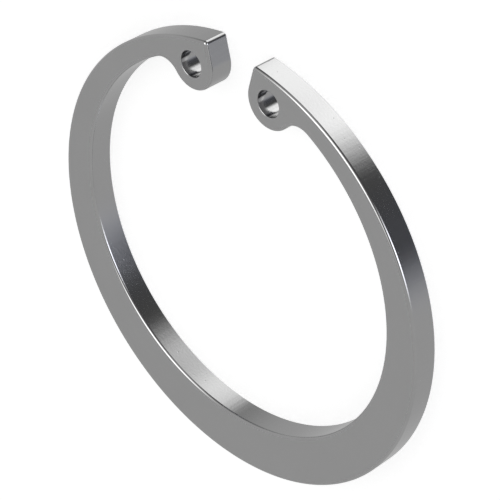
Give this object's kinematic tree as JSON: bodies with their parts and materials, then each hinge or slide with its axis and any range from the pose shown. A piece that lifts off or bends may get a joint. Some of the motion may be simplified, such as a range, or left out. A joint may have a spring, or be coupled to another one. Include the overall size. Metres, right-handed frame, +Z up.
{
  "type": "internal retaining ring",
  "caption": "Internal circlip: open flat ring of spring steel, widest opposite its gap, with a plier hole in each inward lug; it snaps into a groove in a bore to keep a part in.",
  "frame": {"origin": "centre of the ring's round rim, on the flat underside that it rests on", "axes": "+Z up along the rim's axis, out of the rounded upper face; +Y from the centre to the gap; +X to the right-hand lug"},
  "size_m": [0.0454, 0.0452, 0.0025],
  "materials": {
    "ring": "satin"
  },
  "bodies": {
    "root": {"ring": "ring"}
  },
  "joints": []
}
